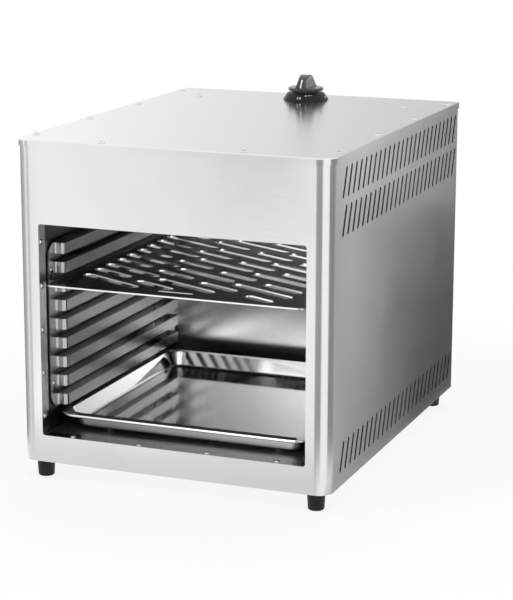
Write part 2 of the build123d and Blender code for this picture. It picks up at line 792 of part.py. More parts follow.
with BuildPart() as partition:
    block((-partition_x, partition_x), (partition_y, partition_y + sheet), (base_top, lid_under - seat_gap))
    block((-partition_x, partition_x), (partition_y, partition_y + fold), (base_top, base_top + sheet))
    drill([(venturi_x, partition_y, venturi_z)], rear, venturi_radius + seat_gap)
    drill([(x, partition_y, lead_height) for x in (-lead_spread, lead_spread)], rear, lead_hole)
partition.part.label = "partition"
export_step(partition.part, "parts/partition.step")

crossbar_front = crossbar_y - crossbar_width / 2
crossbar_rear = crossbar_y + crossbar_width / 2
wall_x = side_x - sheet
with BuildPart() as crossbar:
    block((-partition_x, partition_x), (crossbar_front, crossbar_rear), (lid_under - sheet, lid_under))
    block((-partition_x, partition_x), (crossbar_front, crossbar_front + sheet),
          (lid_under - crossbar_drop, lid_under))
    for side in (-1, 1):
        web_top = lid_under - sheet - seat_gap
        web_low = lid_under - crossbar_drop
        block((side * partition_x - side * sheet, side * wall_x), (crossbar_front, crossbar_front + sheet),
              (web_low, web_top))
        block((side * (wall_x - sheet), side * wall_x), (crossbar_front, crossbar_rear), (web_low, web_top))
    drill(lid_bar_points, up, hole_radius(lid_head))
crossbar.part.label = "crossbar"
export_step(crossbar.part, "parts/crossbar.step")

# ---- Gas valve under the knob
shoulder_low = valve_low + valve_block
neck_low = shoulder_low + valve_shoulder
neck_high = neck_low + neck_length
spring_low = neck_high - gland_thick - spring_length - spring_margin
chamber_high = valve_low + plug_lift + plug_length + seat_gap
inlet_port_x = valve_side / 2 + boss_length

with BuildPart() as valve_body:
    with Locations((knob_x, knob_y, valve_low + valve_block / 2)):
        Box(valve_side, valve_side, valve_block)
    fillet(valve_body.edges().filter_by(Axis.Z), radius=valve_round)
    with Locations((knob_x, knob_y, (shoulder_low + neck_low) / 2)):
        Cylinder(valve_shoulder_radius, valve_shoulder)
    with Locations((knob_x, knob_y, (neck_low + neck_high) / 2)):
        Cylinder(neck_radius, neck_length)
    with Locations(Plane(origin=(knob_x, knob_y, inlet_z), z_dir=(1, 0, 0))):
        Cylinder(boss_radius, 2 * inlet_port_x)
        Cylinder(port_radius, 2 * inlet_port_x, mode=Mode.SUBTRACT)
    with Locations((knob_x, knob_y, (valve_low + chamber_high) / 2)):
        Cylinder(plug_radius + running_gap, chamber_high - valve_low, mode=Mode.SUBTRACT)
    with Locations((knob_x, knob_y, (chamber_high + neck_high) / 2)):
        Cylinder(spindle_radius + running_gap, neck_high - chamber_high, mode=Mode.SUBTRACT)
    with Locations((knob_x, knob_y, (spring_low + neck_high) / 2)):
        Cylinder(spring_bore, neck_high - spring_low, mode=Mode.SUBTRACT)
valve_body.part.label = "valve_body"
export_step(valve_body.part, "parts/valve_body.step")

plug_low = valve_low + plug_lift
plug_high = plug_low + plug_length
with BuildPart() as valve_bottom_cap:
    with Locations((knob_x, knob_y, valve_low + (plug_lift - seat_gap) / 2)):
        Cylinder(plug_radius, plug_lift - seat_gap)
    with BuildSketch(Plane.XY.offset(valve_low - cap_thick)):
        with Locations((knob_x, knob_y)):
            RegularPolygon(plug_radius + cap_reach, 6)
    extrude(amount=cap_thick)
valve_bottom_cap.part.label = "valve_bottom_cap"
export_step(valve_bottom_cap.part, "parts/valve_bottom_cap.step")

with BuildPart() as valve_plug:
    with Locations((knob_x, knob_y, (plug_low + plug_high) / 2)):
        Cylinder(plug_radius, plug_length)
    block((knob_x - plug_slot / 2, knob_x + plug_slot / 2), (knob_y - plug_radius, knob_y + plug_radius),
          (plug_high - plug_slot_depth, plug_high + 1.0), mode=Mode.SUBTRACT)
    with Locations(Plane(origin=(knob_x, knob_y, inlet_z), z_dir=(0, 1, 0))):
        Cylinder(port_radius, 2 * plug_radius, mode=Mode.SUBTRACT)
valve_plug.part.label = "valve_plug"
export_step(valve_plug.part, "parts/valve_plug.step")

# Spindle: tang in the plug's slot, shoulder on the thrust collar, top in the knob
collar_low = spring_low + spring_length + seat_gap
shoulder_z = collar_low + collar_thick + seat_gap
gland_low = neck_high
tang_low = plug_high - plug_slot_depth + knob_travel + 1.0
tang_high = plug_high + knob_travel + seat_gap
bezel_top = height + bezel_height
disc_low = bezel_top + knob_gap
disc_high = disc_low + knob_disc
knob_top = disc_high + grip_rise
spindle_top = disc_low + spindle_seat
flat_low = disc_low - knob_hub_drop

with BuildPart() as spindle:
    with Locations((knob_x, knob_y, (tang_high + spindle_top) / 2)):
        Cylinder(spindle_radius, spindle_top - tang_high)
    with Locations((knob_x, knob_y, (tang_low + tang_high) / 2)):
        Box(tang_thick, tang_width, tang_high - tang_low)
    with Locations((knob_x, knob_y, (shoulder_z + gland_low - seat_gap) / 2)):
        Cylinder(shoulder_radius, gland_low - seat_gap - shoulder_z)
    block((knob_x + spindle_flat, knob_x + spindle_radius),
          (knob_y - spindle_radius, knob_y + spindle_radius), (flat_low, spindle_top), mode=Mode.SUBTRACT)
spindle.part.label = "spindle"
export_step(spindle.part, "parts/spindle.step")

with BuildPart() as thrust_collar:
    with Locations((knob_x, knob_y, collar_low + collar_thick / 2)):
        Cylinder(spring_bore - collar_gap, collar_thick)
        Cylinder(spindle_radius + running_gap, collar_thick, mode=Mode.SUBTRACT)
thrust_collar.part.label = "thrust_collar"
export_step(thrust_collar.part, "parts/thrust_collar.step")

with BuildPart() as return_spring:
    rise = spring_length - 2 * spring_wire
    coil = Helix(pitch=rise / spring_turns, height=rise, radius=spring_radius,
                 center=(knob_x, knob_y, spring_low + spring_wire), mode=Mode.PRIVATE)
    with BuildSketch(Plane(origin=coil @ 0, z_dir=coil % 0)):
        Circle(spring_wire)
    sweep(path=coil)
return_spring.part.label = "return_spring"
export_step(return_spring.part, "parts/return_spring.step")

with BuildPart() as gland_cap:
    with Locations((knob_x, knob_y, gland_low + gland_thick / 2)):
        Cylinder(neck_radius, gland_thick)
        Cylinder(spindle_radius + running_gap, gland_thick, mode=Mode.SUBTRACT)
gland_cap.part.label = "gland_cap"
export_step(gland_cap.part, "parts/gland_cap.step")

with BuildPart() as valve_bracket:
    half = bracket_width / 2
    plate_rear = knob_y + valve_shoulder_radius + bracket_margin
    web_front = crossbar_front + sheet
    with BuildSketch(Plane.XY.offset(neck_low)):
        with Locations((knob_x, (web_front + plate_rear) / 2)):
            Rectangle(bracket_width, plate_rear - web_front)
        with Locations((knob_x, knob_y)):
            Circle(neck_radius + running_gap, mode=Mode.SUBTRACT)
    extrude(amount=bracket_sheet)
    block((knob_x - half, knob_x + half), (web_front, web_front + bracket_sheet),
          (neck_low, lid_under - sheet - seat_gap))
valve_bracket.part.label = "valve_bracket"
export_step(valve_bracket.part, "parts/valve_bracket.step")

with BuildPart() as neck_nut:
    with BuildSketch(Plane.XY.offset(neck_low + bracket_sheet)):
        with Locations((knob_x, knob_y)):
            RegularPolygon(neck_nut_radius, 6)
            Circle(neck_radius + running_gap, mode=Mode.SUBTRACT)
    extrude(amount=neck_nut_height)
neck_nut.part.label = "neck_nut"
export_step(neck_nut.part, "parts/neck_nut.step")

# ---- Knob and its bezel
bezel_bore = spindle_radius + spindle_gap
with BuildPart() as knob_bezel:
    with BuildSketch(Plane.XZ.offset(-knob_y)):
        with BuildLine():
            Polyline((bezel_bore, height), (bezel_low_radius, height),
                     (bezel_low_radius - bezel_foot[0], height + bezel_foot[1]),
                     (bezel_top_radius, bezel_top),
                     (bezel_recess, bezel_top), (bezel_recess, height + bezel_floor),
                     (bezel_bore, height + bezel_floor), close=True)
        make_face()
    revolve(axis=Axis((knob_x, knob_y, 0), (0, 0, 1)))
    # spigot that centres it in the lid
    with Locations((knob_x, knob_y, height - bezel_spigot / 2)):
        Cylinder(lid_bore - seat_gap, bezel_spigot)
        Cylinder(bezel_bore, 2 * bezel_spigot, mode=Mode.SUBTRACT)
knob_bezel.part.label = "knob_bezel"
export_step(knob_bezel.part, "parts/knob_bezel.step")

grip_low = disc_low + knob_disc / 2
grip_half = grip_length / 2
grip_radius = (grip_half ** 2 + (knob_top - grip_low) ** 2) / (2 * (knob_top - grip_low))
grip_middle = knob_top - grip_radius


def pointer_band(outer):
    """The pointer's line round the grip's front end, out to a radius."""
    inner = grip_radius - pointer_depth
    start = 180 - pointer_to
    turn = pointer_to - pointer_from
    with BuildSketch() as band:
        with BuildLine():
            outside = CenterArc((knob_y, grip_middle), outer, start, turn)
            inside = CenterArc((knob_y, grip_middle), inner, start, turn)
            Line(outside @ 0, inside @ 0)
            Line(outside @ 1, inside @ 1)
        make_face()
    return band.sketch


with BuildPart() as grip:
    with BuildSketch(Plane.YZ.offset(knob_x - grip_thick / 2)):
        with BuildLine():
            ThreePointArc((knob_y - grip_half, grip_low), (knob_y, knob_top), (knob_y + grip_half, grip_low))
            Line((knob_y - grip_half, grip_low), (knob_y + grip_half, grip_low))
        make_face()
    extrude(amount=grip_thick)
    # scooped sides for finger and thumb
    for side in (-1, 1):
        scoop_x = knob_x + side * (grip_waist / 2 + grip_scoop)
        with Locations(Plane(origin=(scoop_x, knob_y, disc_high + grip_scoop_rise), z_dir=rear)):
            Cylinder(grip_scoop, grip_length, mode=Mode.SUBTRACT)
    fillet(grip.edges().filter_by(lambda edge: edge.center().Z > disc_high), radius=grip_round)

with BuildPart() as knob:
    with BuildSketch(Plane.XY.offset(disc_low)):
        with Locations((knob_x, knob_y)):
            Circle(knob_radius)
    extrude(amount=knob_disc)
    fillet(knob.edges().filter_by(GeomType.CIRCLE), radius=knob_round)
    add(grip.part)
    with Locations((knob_x, knob_y, disc_low - knob_hub_drop / 2)):
        Cylinder(knob_hub_radius, knob_hub_drop)
    # bore with a flat, for the spindle
    with BuildSketch(Plane.XY.offset(flat_low)):
        with Locations((knob_x, knob_y)):
            Circle(spindle_radius + running_gap)
        with Locations((knob_x + spindle_flat + running_gap, knob_y)):
            Rectangle(spindle_radius, 3 * spindle_radius, align=(Align.MIN, Align.CENTER), mode=Mode.SUBTRACT)
    extrude(amount=spindle_top - flat_low + seat_gap, mode=Mode.SUBTRACT)
    with BuildSketch(Plane.YZ.offset(knob_x - pointer_width / 2)):
        add(pointer_band(grip_radius + 1.0))
    extrude(amount=pointer_width, mode=Mode.SUBTRACT)
knob.part.label = "knob"
export_step(knob.part, "parts/knob.step")

with BuildPart() as pointer_line:
    with BuildSketch(Plane.YZ.offset(knob_x - pointer_width / 2)):
        add(pointer_band(grip_radius + running_gap))
    extrude(amount=pointer_width)
pointer_line.part.label = "pointer_line"
export_step(pointer_line.part, "parts/pointer_line.step")

# ---- Gas pipes, jet and inlet
jet_tip = bell_y + jet_gap
jet_back = jet_tip + jet_length
holder_back = jet_back + holder_depth
pipe_y = jet_back + holder_depth / 2

holder_low = venturi_z - holder_height / 2
burner_route = [(knob_x - inlet_port_x, knob_y, inlet_z), (venturi_x, knob_y, inlet_z),
                (venturi_x, pipe_y, inlet_z), (venturi_x, pipe_y, holder_low + holder_socket)]
inlet_front = rear_y - inlet_length
inlet_route = [(knob_x + inlet_port_x, knob_y, inlet_z), (inlet_x, knob_y, inlet_z),
               (inlet_x, inlet_front + holder_socket, inlet_z)]

burner_pipe = tube(burner_route, pipe_radius, pipe_radius - pipe_wall, pipe_bend)
burner_pipe.label = "burner_pipe"
export_step(burner_pipe, "parts/burner_pipe.step")

inlet_pipe = tube(inlet_route, pipe_radius, pipe_radius - pipe_wall, pipe_bend)
inlet_pipe.label = "inlet_pipe"
export_step(inlet_pipe, "parts/inlet_pipe.step")

with BuildPart() as pipe_nuts:
    for side in (-1, 1):
        with BuildSketch(Plane(origin=(knob_x + side * inlet_port_x, knob_y, inlet_z), z_dir=(side, 0, 0))):
            RegularPolygon(pipe_nut_radius, 6)
            Circle(pipe_radius + running_gap, mode=Mode.SUBTRACT)
        extrude(amount=nut_length)
pipe_nuts.part.label = "pipe_nuts"
export_step(pipe_nuts.part, "parts/pipe_nuts.step")

with BuildPart() as jet_holder:
    with Locations((venturi_x, pipe_y, venturi_z)):
        Box(holder_width, holder_depth, holder_height)
    fillet(jet_holder.edges().filter_by(Axis.Y), radius=holder_round)
    with Locations((venturi_x, pipe_y, holder_low + holder_socket / 2 + seat_gap)):
        Cylinder(pipe_radius + running_gap, holder_socket + 2 * seat_gap, mode=Mode.SUBTRACT)
jet_holder.part.label = "jet_holder"
export_step(jet_holder.part, "parts/jet_holder.step")

with BuildPart() as gas_jet:
    with BuildSketch(Plane.XZ.offset(-jet_back)):
        with Locations((venturi_x, venturi_z)):
            RegularPolygon(jet_radius, 6)
    extrude(amount=jet_hexagon)
    with BuildSketch(Plane.XZ.offset(-jet_back + jet_hexagon)):
        with Locations((venturi_x, venturi_z)):
            Circle(jet_nose_radius)
    extrude(amount=jet_length - jet_hexagon, taper=jet_taper)
gas_jet.part.label = "gas_jet"
export_step(gas_jet.part, "parts/gas_jet.step")

with BuildPart() as jet_bracket:
    x = (venturi_x - holder_width / 2, venturi_x + holder_width / 2)
    panel_inner = rear_y - sheet
    shelf_z = venturi_z + holder_height / 2
    block(x, (holder_back, holder_back + bracket_sheet), (holder_low, shelf_z + bracket_sheet))
    block(x, (holder_back, panel_inner), (shelf_z, shelf_z + bracket_sheet))
    block(x, (panel_inner - bracket_sheet, panel_inner), (shelf_z - holder_depth, shelf_z + bracket_sheet))
jet_bracket.part.label = "jet_bracket"
export_step(jet_bracket.part, "parts/jet_bracket.step")

with BuildPart() as inlet_socket:
    with Locations(Plane(origin=(inlet_x, (inlet_front + rear_y) / 2, inlet_z), z_dir=rear)):
        Cylinder(inlet_radius, inlet_length)
    with Locations(Plane(origin=(inlet_x, rear_y - inlet_thread / 2, inlet_z), z_dir=rear)):
        Cylinder(inlet_bore, inlet_thread, mode=Mode.SUBTRACT)
    with Locations(Plane(origin=(inlet_x, (inlet_front + rear_y) / 2, inlet_z), z_dir=rear)):
        Cylinder(pipe_radius + running_gap, inlet_length, mode=Mode.SUBTRACT)
inlet_socket.part.label = "inlet_socket"
export_step(inlet_socket.part, "parts/inlet_socket.step")

with BuildPart() as inlet_plate:
    with BuildSketch(Plane.XZ.offset(-(rear_y - sheet))):
        with Locations((inlet_x, inlet_z)):
            Rectangle(inlet_plate_side, inlet_plate_side)
            Circle(inlet_radius + running_gap, mode=Mode.SUBTRACT)
    extrude(amount=inlet_plate_thick)
inlet_plate.part.label = "inlet_plate"
export_step(inlet_plate.part, "parts/inlet_plate.step")

# ---- Thermocouple and spark electrode, led over the cavity and down through the guard plate
probe_z = ceiling - probe_radius
valve_front = knob_y - valve_side / 2


def probe(x, start_y):
    """A lead over the cavity's rear wall to a sleeve under the guard plate, beside the burner."""
    route = [(x, start_y, lead_height), (x, lead_drop_y, lead_height), (x, lead_drop_y, probe_z),
             (x, probe_y, probe_z)]
    with BuildPart() as lead:
        add(tube(route, lead_radius, 0, lead_bend))
        with Locations(Plane(origin=(x, probe_y + probe_length / 2, probe_z), z_dir=rear)):
            Cylinder(probe_radius, probe_length)
    return lead.part


thermocouple = probe(lead_spread, valve_front)
thermocouple.label = "thermocouple"
export_step(thermocouple, "parts/thermocouple.step")

piezo_front = partition_y + sheet
electrode_end = piezo_front + lead_tail
spark_electrode = probe(-lead_spread, electrode_end)
spark_electrode.label = "spark_electrode"
export_step(spark_electrode, "parts/spark_electrode.step")

with BuildPart() as piezo_block:
    block((-piezo_x - piezo_size, -piezo_x), (piezo_front, piezo_front + piezo_size),
          (lead_height - piezo_size / 2, lead_height + piezo_size / 2))
    fillet(piezo_block.edges().filter_by(Axis.Y), radius=piezo_round)
piezo_block.part.label = "piezo_block"
export_step(piezo_block.part, "parts/piezo_block.step")

loop_y = electrode_end + piezo_size
lead_end_x = -piezo_x - piezo_size / 2
igniter_lead = tube([(-lead_spread, electrode_end, lead_height), (-lead_spread, loop_y, lead_height),
                     (lead_end_x, loop_y, lead_height), (lead_end_x, piezo_front + piezo_size, lead_height)],
                    lead_radius, 0, lead_bend)
igniter_lead.label = "igniter_lead"
export_step(igniter_lead, "parts/igniter_lead.step")

# ---- Grate: a plate with slanted slots, lying on a pair of rails
grate_low = rail_lows[grate_rail] + rail_height + seat_gap
grate_front = front_y + grate_front_margin
grate_rear = cavity_back - grate_rear_margin
grate_y = (grate_front + grate_rear) / 2
slot_reach = grate_slot / 2 + (grate_long - grate_slot) / 2 * sin(radians(grate_turn))


def grate_slots(columns, first, step):
    """Middles of one set of slots: a slanted row, repeated towards the rear."""
    middles = [(first[0] + column * step[0], first[1] + column * step[1] + row * grate_row_pitch)
               for column in range(columns) for row in range(grate_rows)]
    return [(x, grate_front + y) for x, y in middles
            if grate_edge < y - slot_reach and grate_front + y + slot_reach < grate_rear - grate_edge]


short_slots = grate_slots(short_columns, short_first, short_step)
long_slots = grate_slots(long_columns, long_first, long_step)

with BuildPart() as grate:
    with BuildSketch(Plane.XY.offset(grate_low)):
        with Locations((0, grate_y)):
            RectangleRounded(grate_width, grate_rear - grate_front, grate_corner)
        with Locations(*short_slots):
            SlotOverall(grate_short, grate_slot, rotation=-grate_turn, mode=Mode.SUBTRACT)
        with Locations(*long_slots):
            SlotOverall(grate_long, grate_slot, rotation=-grate_turn, mode=Mode.SUBTRACT)
        with Locations((corner_slot_at[0], grate_front + corner_slot_at[1])):
            SlotOverall(corner_slot, grate_slot, rotation=-grate_turn, mode=Mode.SUBTRACT)
        with Locations((edge_slot_at[0], grate_front + edge_slot_at[1])):
            SlotOverall(*edge_slot, mode=Mode.SUBTRACT)
    extrude(amount=grate_thick)
grate.part.label = "grate"
export_step(grate.part, "parts/grate.step")

# ---- Drip tray: a pressed pan with a flat rim and a rolled edge
tray_top = tray_low + tray_height


def tray_shape(low, inset):
    """The pressed pan as a solid from a height to its rim, moved in by inset."""
    wide = tray_width - 2 * (tray_bead + tray_flat + inset)
    deep = tray_depth - 2 * (tray_bead + tray_flat + inset)
    with BuildPart() as form:
        with BuildSketch(Plane.XY.offset(low)):
            with Locations((0, tray_y)):
                RectangleRounded(wide - 2 * tray_slope, deep - 2 * tray_slope, tray_floor_corner - inset)
        with BuildSketch(Plane.XY.offset(tray_top)):
            with Locations((0, tray_y)):
                RectangleRounded(wide, deep, tray_wall_corner - inset)
        loft()
        fillet(form.edges().group_by(Axis.Z)[0], radius=tray_bend - inset)
    return form.part


with BuildPart() as rolled_edge:
    with BuildSketch(Plane.XY.offset(tray_top - 2 * tray_bead)):
        with Locations((0, tray_y)):
            RectangleRounded(tray_width, tray_depth, tray_corner)
            RectangleRounded(tray_width - 4 * tray_bead, tray_depth - 4 * tray_bead,
                             tray_corner - 2 * tray_bead, mode=Mode.SUBTRACT)
    extrude(amount=2 * tray_bead)
    rims = rolled_edge.edges().group_by(Axis.Z)
    fillet(rims[0] + rims[-1], radius=0.95 * tray_bead)

with BuildPart() as drip_tray:
    with BuildSketch(Plane.XY.offset(tray_top - tray_sheet)):
        with Locations((0, tray_y)):
            RectangleRounded(tray_width - 2 * tray_bead, tray_depth - 2 * tray_bead, tray_corner - tray_bead)
    extrude(amount=tray_sheet)
    add(tray_shape(tray_low, 0))
    add(tray_shape(tray_low + tray_sheet, tray_sheet), mode=Mode.SUBTRACT)
    add(rolled_edge.part)
drip_tray.part.label = "drip_tray"
export_step(drip_tray.part, "parts/drip_tray.step")

# ---- Feet, with their studs and nuts
foot_names = {(-1, -1): "foot_front_left", (1, -1): "foot_front_right",
              (-1, 1): "foot_rear_left", (1, 1): "foot_rear_right"}
for (side, end), name in foot_names.items():
    with BuildPart(Plane(origin=(side * foot_x, end * foot_y, 0))) as foot:
        Cone(foot_low_radius, foot_top_radius, foot_height, align=(Align.CENTER, Align.CENTER, Align.MIN))
        fillet(foot.edges().group_by(Axis.Z)[0], radius=foot_round)
        with Locations((0, 0, foot_height - stud_depth)):
            Cylinder(stud_radius, stud_depth, align=(Align.CENTER, Align.CENTER, Align.MIN),
                     mode=Mode.SUBTRACT)
    foot.part.label = name
    export_step(foot.part, f"parts/{name}.step")

with BuildPart() as foot_studs:
    with BuildSketch(Plane.XY.offset(foot_height - stud_depth)):
        with Locations(*foot_points):
            Circle(stud_radius)
    extrude(amount=stud_depth + sheet + nut_height + stud_end)
foot_studs.part.label = "foot_studs"
export_step(foot_studs.part, "parts/foot_studs.step")

with BuildPart() as foot_nuts:
    with BuildSketch(Plane.XY.offset(base_top)):
        with Locations(*foot_points):
            RegularPolygon(nut_radius, 6)
            Circle(stud_radius + running_gap, mode=Mode.SUBTRACT)
    extrude(amount=nut_height)
foot_nuts.part.label = "foot_nuts"
export_step(foot_nuts.part, "parts/foot_nuts.step")

# ---- Screws
lid_screws = fasteners(screw(*lid_head), [(point, up) for point in lid_points])
lid_screws.label = "lid_screws"
export_step(lid_screws, "parts/lid_screws.step")

open_seats = [((x, y, z), (-1 if x > 0 else 1, 0, 0)) for x, y, z in open_side_points]
open_seats += [(point, up) for point in open_low_points]
open_seats += [(point, down) for point in open_high_points]
opening_screws = fasteners(screw(*small_head), open_seats)
opening_screws.label = "opening_screws"
export_step(opening_screws, "parts/opening_screws.step")

rack_seats = [((side * rack_face, rack_screw_y, z), (-side, 0, 0)) for side in (-1, 1) for z in rack_screw_z]
rack_screws = fasteners(screw(*small_head), rack_seats)
rack_screws.label = "rack_screws"
export_step(rack_screws, "parts/rack_screws.step")

rear_screws = fasteners(screw(*panel_head), [(point, rear) for point in rear_points])
rear_screws.label = "rear_screws"
export_step(rear_screws, "parts/rear_screws.step")

base_screws = fasteners(screw(*plate_head), [(point, down) for point in base_points])
base_screws.label = "base_screws"
export_step(base_screws, "parts/base_screws.step")
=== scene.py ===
import bpy
import bmesh
from math import cos, pi, radians, sin
from mathutils import Matrix, Vector


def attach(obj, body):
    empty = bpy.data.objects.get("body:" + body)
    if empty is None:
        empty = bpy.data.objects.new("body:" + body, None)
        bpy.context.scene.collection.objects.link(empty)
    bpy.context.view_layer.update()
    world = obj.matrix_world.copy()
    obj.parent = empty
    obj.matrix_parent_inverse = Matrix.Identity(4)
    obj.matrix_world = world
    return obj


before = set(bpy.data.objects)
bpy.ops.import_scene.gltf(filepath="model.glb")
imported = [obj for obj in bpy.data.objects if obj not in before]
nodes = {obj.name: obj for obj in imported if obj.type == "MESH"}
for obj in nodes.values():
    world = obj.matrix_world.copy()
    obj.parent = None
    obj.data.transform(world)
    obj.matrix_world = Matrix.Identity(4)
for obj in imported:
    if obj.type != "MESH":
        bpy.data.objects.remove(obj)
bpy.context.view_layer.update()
scene = bpy.context.scene
print("stage: frame loaded,", len(nodes), "nodes")


def newMaterial(name):
    material = bpy.data.materials.new(name)
    material.use_nodes = True
    tree = material.node_tree
    return material, tree, tree.nodes["Principled BSDF"]


def wire(tree, source, target):
    tree.links.new(source, target)


def mathNode(tree, operation, first, second, clamp=False):
    node = tree.nodes.new("ShaderNodeMath")
    node.operation = operation
    node.use_clamp = clamp
    for socket, value in zip(node.inputs, (first, second)):
        if isinstance(value, (int, float)):
            socket.default_value = value
        else:
            wire(tree, value, socket)
    return node.outputs[0]


def objectPoints(tree, scale=(1, 1, 1)):
    coordinates = tree.nodes.new("ShaderNodeTexCoord")
    mapping = tree.nodes.new("ShaderNodeMapping")
    mapping.inputs["Scale"].default_value = scale
    wire(tree, coordinates.outputs["Object"], mapping.inputs["Vector"])
    return mapping.outputs["Vector"]


def noise(tree, points, scale, detail=3.0, roughness=0.55):
    texture = tree.nodes.new("ShaderNodeTexNoise")
    texture.inputs["Scale"].default_value = scale
    texture.inputs["Detail"].default_value = detail
    texture.inputs["Roughness"].default_value = roughness
    wire(tree, points, texture.inputs["Vector"])
    return texture.outputs["Fac"]


def spread(tree, value, low, high, fromLow=0.3, fromHigh=0.7):
    node = tree.nodes.new("ShaderNodeMapRange")
    node.inputs["From Min"].default_value = fromLow
    node.inputs["From Max"].default_value = fromHigh
    node.inputs["To Min"].default_value = low
    node.inputs["To Max"].default_value = high
    wire(tree, value, node.inputs["Value"])
    return node.outputs["Result"]


def ramp(tree, value, low, high, lowPlace=0.3, highPlace=0.7):
    node = tree.nodes.new("ShaderNodeValToRGB")
    first, last = node.color_ramp.elements
    first.position, first.color = lowPlace, (*low, 1)
    last.position, last.color = highPlace, (*high, 1)
    wire(tree, value, node.inputs["Fac"])
    return node.outputs["Color"]


def tinted(colour, share):
    return tuple(min(1.0, channel * share) for channel in colour)


def bumped(tree, shader, value, strength, distance):
    bump = tree.nodes.new("ShaderNodeBump")
    bump.inputs["Strength"].default_value = strength
    bump.inputs["Distance"].default_value = distance
    wire(tree, value, bump.inputs["Height"])
    wire(tree, bump.outputs["Normal"], shader.inputs["Normal"])


def tangentRound(tree, shader):
    tangent = tree.nodes.new("ShaderNodeTangent")
    tangent.direction_type = "RADIAL"
    tangent.axis = "Z"
    wire(tree, tangent.outputs["Tangent"], shader.inputs["Tangent"])


def paintLightAndShadeByTilt(tree, tint, tilt, share):  # painted light and shade: lighter or darker by how far the sheet faces up
    facing = tree.nodes.new("ShaderNodeSeparateXYZ")
    wire(tree, tree.nodes.new("ShaderNodeTexCoord").outputs["Normal"], facing.inputs["Vector"])
    scaled = tree.nodes.new("ShaderNodeVectorMath")
    scaled.operation = "SCALE"
    wire(tree, tint, scaled.inputs[0])
    wire(tree, spread(tree, facing.outputs["Z"], *share, *tilt), scaled.inputs["Scale"])
    return scaled.outputs["Vector"]


# brushed sheet: fine lines, stretched along the way it was brushed, and wide clouds
sheetGrain = dict(lineDetail=4.0, lineRoughness=0.7, lineShare=0.55, cloudScale=9.0, cloudDetail=2.0,
                  cloudShare=0.45, smooth=0.85, dull=1.15, lineDepth=0.00012)


def brushedSteel(name, colour, grain, roughness, anisotropy=0.0, turn=0.25, bump=0.12, stain=0.04,
                 shade=None):
    material, tree, shader = newMaterial(name)
    points = objectPoints(tree, grain)
    lines = noise(tree, points, 1.0, sheetGrain["lineDetail"], sheetGrain["lineRoughness"])
    clouds = noise(tree, objectPoints(tree), sheetGrain["cloudScale"], sheetGrain["cloudDetail"])
    mixed = mathNode(tree, "ADD", mathNode(tree, "MULTIPLY", lines, sheetGrain["lineShare"]),
                     mathNode(tree, "MULTIPLY", clouds, sheetGrain["cloudShare"]))
    tint = ramp(tree, mixed, tinted(colour, 1 - stain), tinted(colour, 1 + stain))
    # painted light and shade by tilt, where a finish asks for it
    if shade:
        tint = paintLightAndShadeByTilt(tree, tint, **shade)
    wire(tree, tint, shader.inputs["Base Color"])
    gloss = spread(tree, mixed, roughness * sheetGrain["smooth"], roughness * sheetGrain["dull"])
    wire(tree, gloss, shader.inputs["Roughness"])
    shader.inputs["Metallic"].default_value = 1.0
    shader.inputs["Anisotropic"].default_value = anisotropy
    shader.inputs["Anisotropic Rotation"].default_value = turn  # the blur runs across the lines
    if anisotropy:
        tangentRound(tree, shader)
    bumped(tree, shader, lines, bump, sheetGrain["lineDepth"])
    return material


# moulded plastic, rubber, ceramic and fibre: a soft tint, an uneven gloss and a fine grain
mouldGrain = dict(cloudScale=40.0, cloudDetail=3.0, grainDetail=4.0, dark=0.82, light=1.15,
                  smooth=0.8, dull=1.2, strength=0.3)


def cast(name, colour, roughness, grainScale, grainDepth, coat=0.0, specular=0.5):
    material, tree, shader = newMaterial(name)
    points = objectPoints(tree)
    clouds = noise(tree, points, mouldGrain["cloudScale"], mouldGrain["cloudDetail"])
    grain = noise(tree, points, grainScale, mouldGrain["grainDetail"])
    tint = ramp(tree, clouds, tinted(colour, mouldGrain["dark"]), tinted(colour, mouldGrain["light"]))
    wire(tree, tint, shader.inputs["Base Color"])
    gloss = spread(tree, clouds, roughness * mouldGrain["smooth"], roughness * mouldGrain["dull"])
    wire(tree, gloss, shader.inputs["Roughness"])
    shader.inputs["Coat Weight"].default_value = coat
    shader.inputs["Specular IOR Level"].default_value = specular
    bumped(tree, shader, grain, mouldGrain["strength"], grainDepth)
    return material


# brass and plated steel from the lathe, a little dull in places
latheGrain = dict(cloudScale=120.0, cloudDetail=3.0, rings=(300, 300, 4000), ringDetail=2.0, dark=0.8,
                  blend=(0.35, 0.65), smooth=0.7, dull=1.3, strength=0.1, ringDepth=0.00005)


def turned(name, colour, roughness):
    material, tree, shader = newMaterial(name)
    clouds = noise(tree, objectPoints(tree), latheGrain["cloudScale"], latheGrain["cloudDetail"])
    rings = noise(tree, objectPoints(tree, latheGrain["rings"]), 1.0, latheGrain["ringDetail"])
    tint = ramp(tree, clouds, tinted(colour, latheGrain["dark"]), colour, *latheGrain["blend"])
    wire(tree, tint, shader.inputs["Base Color"])
    gloss = spread(tree, clouds, roughness * latheGrain["smooth"], roughness * latheGrain["dull"])
    wire(tree, gloss, shader.inputs["Roughness"])
    shader.inputs["Metallic"].default_value = 1.0
    bumped(tree, shader, rings, latheGrain["strength"], latheGrain["ringDepth"])
    return material


def dress(material, *nodeNames):
    for nodeName in nodeNames:
        mesh = nodes[nodeName].data
        mesh.materials.clear()
        mesh.materials.append(material)


caseSteel = dict(colour=(0.68, 0.68, 0.675), grain=(14, 14, 2600), roughness=0.22, anisotropy=0.7, bump=0.08)
dress(brushedSteel("caseFinish", **caseSteel), "body_shell", "rear_panel", "base_plate")

lidSteel = dict(colour=(0.68, 0.68, 0.68), grain=(14, 2200, 2200), roughness=0.18, bump=0.03, stain=0.02)
dress(brushedSteel("lidFinish", **lidSteel), "lid")

rackSteel = dict(colour=(0.44, 0.44, 0.435), grain=(900, 12, 900), roughness=0.24, anisotropy=0.5, bump=0.04)
dress(brushedSteel("rackFinish", **rackSteel), "rack_left", "rack_right")

